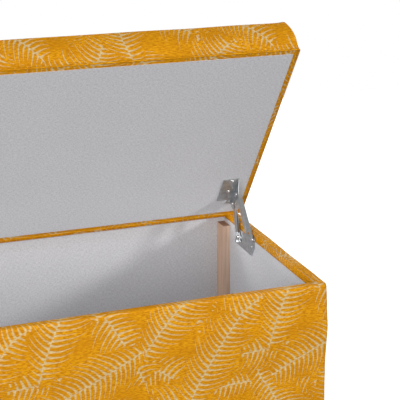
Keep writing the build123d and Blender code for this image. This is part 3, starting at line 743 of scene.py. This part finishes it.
def soften_lid(point):
    """Rounds the block's edges and gives it crowned sides and top."""
    x, y, z = point
    share = z / LID_THICKNESS
    radius = LOW_RADIUS + (TOP_RADIUS - LOW_RADIUS) * min(1.0, max(0.0, share))
    half = Vector((LID_HALF, LID_DEPTH / 2, LID_THICKNESS / 2))
    centre = Vector((0, -LID_DEPTH / 2, LID_THICKNESS / 2))
    local = Vector(point) - centre
    core = Vector([max(-(half[i] - radius), min(half[i] - radius, local[i])) for i in range(3)])
    out = local - core
    if out.length > 1e-7:
        local = core + out.normalized() * radius
    swell = START_BULGE * 4 * share * (1 - share)
    flat_x = 1 if abs(x) > LID_HALF - TOP_RADIUS else 0
    flat_y = 1 if abs(y + LID_DEPTH / 2) > LID_DEPTH / 2 - TOP_RADIUS else 0
    local.x += math.copysign(swell * flat_x, x)
    local.y += math.copysign(swell * flat_y, y + LID_DEPTH / 2)
    local.z += PLUMP * share * share
    if share > 0.99:
        edge = min(LID_HALF - abs(x), LID_DEPTH / 2 - abs(y + LID_DEPTH / 2))
        local.z += TOP_CROWN * min(1.0, max(0.0, edge) / CROWN_REACH) ** 0.5
    return tuple(local + centre)


def swell_by_cloth(piece, cap):
    """Lets a pressurised cloth settle over the pad, then keeps a capped share of the motion."""
    mesh = piece.data
    rest = np.array([vertex.co for vertex in mesh.vertices])
    held = piece.vertex_groups.new(name="held")
    for index, (x, y, z) in enumerate(rest):
        if z < LOW_RADIUS:
            held.add([index], 1.0, "REPLACE")
    cloth = piece.modifiers.new("settle", "CLOTH")
    cloth.settings.quality = 4
    cloth.settings.mass = 0.3
    cloth.settings.tension_stiffness = 12
    cloth.settings.compression_stiffness = 12
    cloth.settings.shear_stiffness = 8
    cloth.settings.bending_stiffness = 1.2
    cloth.settings.use_pressure = True
    cloth.settings.uniform_pressure_force = 4
    cloth.settings.vertex_group_mass = "held"
    cloth.settings.effector_weights.gravity = 0
    cloth.point_cache.frame_start = 1
    cloth.point_cache.frame_end = SETTLE_FRAMES
    for number in range(1, SETTLE_FRAMES + 1):
        bpy.context.scene.frame_set(number)
    graph = bpy.context.evaluated_depsgraph_get()
    settled = piece.evaluated_get(graph).data
    moved = np.array([vertex.co for vertex in settled.vertices])
    piece.modifiers.remove(cloth)
    bpy.context.scene.frame_set(1)
    shift = moved - rest
    far = np.maximum(np.linalg.norm(shift, axis=1, keepdims=True), 1e-9)
    shift *= np.minimum(1.0, cap / far)
    mesh.vertices.foreach_set("co", (rest + shift).astype(np.float32).ravel())
    mesh.update()


SEAM_GROOVE = (0.0012, 0.0036)
SEAM_DEPTH = 0.0006  # less than the cover, so that the board stays hidden


def sink_seam(point):
    """Presses a narrow groove into the underside, between the edge seam and the border."""
    x, y, z = point
    edge = min(LID_HALF - abs(x), LID_DEPTH / 2 - abs(y + LID_DEPTH / 2))
    if z < 0.001 and SEAM_GROOVE[0] < edge < SEAM_GROOVE[1]:
        return (x, y, z + SEAM_DEPTH)
    return point


shell_points, shell_faces, shell_cloth = lid_shell()
lid_cushion = add_piece("lid_cushion", shell_points, shell_faces, shell_cloth, palm)
merge_and_orient(lid_cushion)
for vertex in lid_cushion.data.vertices:
    vertex.co = sink_seam(soften_lid(vertex.co))
swell_by_cloth(lid_cushion, SIDE_SWELL)
PAD_START = 0.004  # the board's edge below this stays even
for vertex in lid_cushion.data.vertices:
    if vertex.co.z > PAD_START:
        x, y, z = vertex.co
        vertex.co += Vector((0, soft((x, y, z), 12.0, 0.0008), soft((x, y, z), 8.0, 0.0010)))
lid_cushion.data.transform(LID)
lid_cushion.data.shade_smooth()
smooth = lid_cushion.modifiers.new("finer", "SUBSURF")
smooth.levels = 1
smooth.render_levels = 1
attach(lid_cushion, "lid")
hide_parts("lid_cover", "lid_wadding", "lid_foam")

# A folded seam stands proud round the lid's lower edge.
SEAM_RADIUS = 0.0010
SEAM_RISE = 0.0008
SEAM_TALL = 1.25  # the seam's height over its width
SEAM_OUT = 0.0001
SEAM_SIDES = 8
seam_levels = []
for number in range(SEAM_SIDES):
    angle = -2 * math.pi * number / SEAM_SIDES
    out = SEAM_OUT + SEAM_RADIUS * math.cos(angle)
    z = SEAM_RISE + SEAM_TALL * SEAM_RADIUS * math.sin(angle)
    spots, _ = ring(LID_HALF + out, LID_DEPTH / 2 + out, LOW_RADIUS + 0.001)
    level = [tuple(LID @ Vector((x, y - LID_DEPTH / 2, z))) for x, y in spots]
    seam_levels.append((level, number * 2 * math.pi * SEAM_RADIUS / SEAM_SIDES))
lid_seam = add_piece("lid_seam", *loft(seam_levels, closed=True), plain_weave)
merge_and_orient(lid_seam)
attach(lid_seam, "lid")

# Lining on the lid's underside, stopping short of its edge.
LID_LINING_EDGE = 0.0086
LID_LINING_STAND = 0.00025  # above the cover
lid_lining_width = 2 * (LID_HALF - LID_LINING_EDGE)
lid_lining_depth = LID_DEPTH - 2 * LID_LINING_EDGE


def lid_lining_shape(u, v):
    """Faint waves that die out at the edge."""
    edge = min(u, lid_lining_width - u, v, lid_lining_depth - v)
    return max(0.0, soft((u, v, 1.5), 10.0, 0.0006)) * min(1.0, edge / EDGE_FADE)


# The underside's own plane: X reversed, Y towards the back edge, Z out of the underside.
under = Matrix(
    (
        (-1, 0, 0, 0),
        (0, 1, 0, -LID_DEPTH + LID_LINING_EDGE),
        (0, 0, -1, -LID_LINING_STAND),
        (0, 0, 0, 1),
    )
)
lid_lining = cloth_grid(
    "lid_underside_lining",
    lid_lining_width,
    lid_lining_depth,
    LID @ under,
    lining_cloth,
    lid_lining_shape,
    0.007,
)
thicken(lid_lining, LINING_CLOTH)
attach(lid_lining, "lid")
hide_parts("lid_lining")

# ---------------------------------------------------------------- hinge sheet edges
for hand in ("left", "right"):
    for name in HINGE_SHEET_NODES:
        edges = frame["nodes"][f"{hand}_{name}"].modifiers.new("rolled_edges", "BEVEL")
        edges.width = 0.00028
        edges.segments = 2
        edges.limit_method = "ANGLE"
        edges.angle_limit = math.radians(40)

# ---------------------------------------------------------------- floor, light, camera
floor_mesh = bpy.data.meshes.new("studio_floor")
FLOOR_HALF = 2.3
floor_corners = [(x * FLOOR_HALF, y * FLOOR_HALF, 0) for x, y in ((-1, -1), (1, -1), (1, 1), (-1, 1))]
floor_mesh.from_pydata(floor_corners, [], [(0, 1, 2, 3)])
studio_floor = bpy.data.objects.new("studio_floor", floor_mesh)
bpy.context.scene.collection.objects.link(studio_floor)
floor_material, floor_tree, floor_shader = new_material("studio_white")
floor_tone = floor_tree.noise(floor_tree.node("TexCoord").outputs["Object"], 0.7, 1.0)
floor_white = floor_tree.colour(floor_tone, (0.93, 0.93, 0.93), (0.96, 0.96, 0.96))
floor_tree.put(floor_shader.inputs["Base Color"], floor_white)
floor_shader.inputs["Roughness"].default_value = 0.9
floor_shader.inputs["Emission Color"].default_value = (1, 1, 1, 1)
floor_shader.inputs["Emission Strength"].default_value = 0.40
floor_shader.inputs["Specular IOR Level"].default_value = 0.1
floor_mesh.materials.append(floor_material)
studio_floor.visible_diffuse = False  # its glow stays off the object


LIGHT_TARGET = Vector((0.25, 0.0, 0.35))


def area_light(name, position, size, power):
    """White rectangular light that faces the object."""
    data = bpy.data.lights.new(name, "AREA")
    data.shape = "RECTANGLE"
    data.size, data.size_y = size
    data.energy = power
    light = bpy.data.objects.new(name, data)
    light.location = position
    light.rotation_euler = (LIGHT_TARGET - Vector(position)).to_track_quat("-Z", "Y").to_euler()
    bpy.context.scene.collection.objects.link(light)


area_light("right_softbox", (2.9, -2.0, 1.4), (0.5, 0.4), 56)
area_light("high_softbox", (2.0, -2.0, 2.2), (1.2, 1.0), 8)
area_light("top_softbox", (0.1, -1.6, 3.0), (2.4, 1.8), 12)
area_light("left_softbox", (-2.4, -1.1, 2.1), (1.8, 1.6), 56)
area_light("front_left_softbox", (-1.9, -3.0, 1.0), (1.6, 1.2), 80)
area_light("low_softbox", (0.3, -3.2, 0.45), (1.6, 0.6), 13)
area_light("back_right_softbox", (2.6, 2.7, 1.6), (1.8, 1.4), 85)
area_light("back_left_softbox", (-2.4, 2.6, 1.6), (1.8, 1.4), 85)

world = bpy.data.worlds.new("studio")
world.use_nodes = True
background = world.node_tree.nodes["Background"]
background.inputs["Color"].default_value = (1, 1, 1, 1)
background.inputs["Strength"].default_value = 1.0
bpy.context.scene.world = world
world.cycles_visibility.diffuse = False  # seen by the camera only
world.cycles_visibility.glossy = False
bpy.context.scene.view_settings.view_transform = "Standard"

# Fitted to the photo's edges.
CAMERA_LENS = 106.2
CAMERA_PLACE = (-0.3008, -1.6784, 1.0015)
CAMERA_TILT = 72.107  # degrees from straight down
CAMERA_TURN = -20.26
camera_data = bpy.data.cameras.new("camera")
camera_data.lens = CAMERA_LENS
camera_data.sensor_width = 36
camera = bpy.data.objects.new("camera", camera_data)
camera.location = CAMERA_PLACE
camera.rotation_euler = (math.radians(CAMERA_TILT), 0, math.radians(CAMERA_TURN))
bpy.context.scene.collection.objects.link(camera)
bpy.context.scene.camera = camera
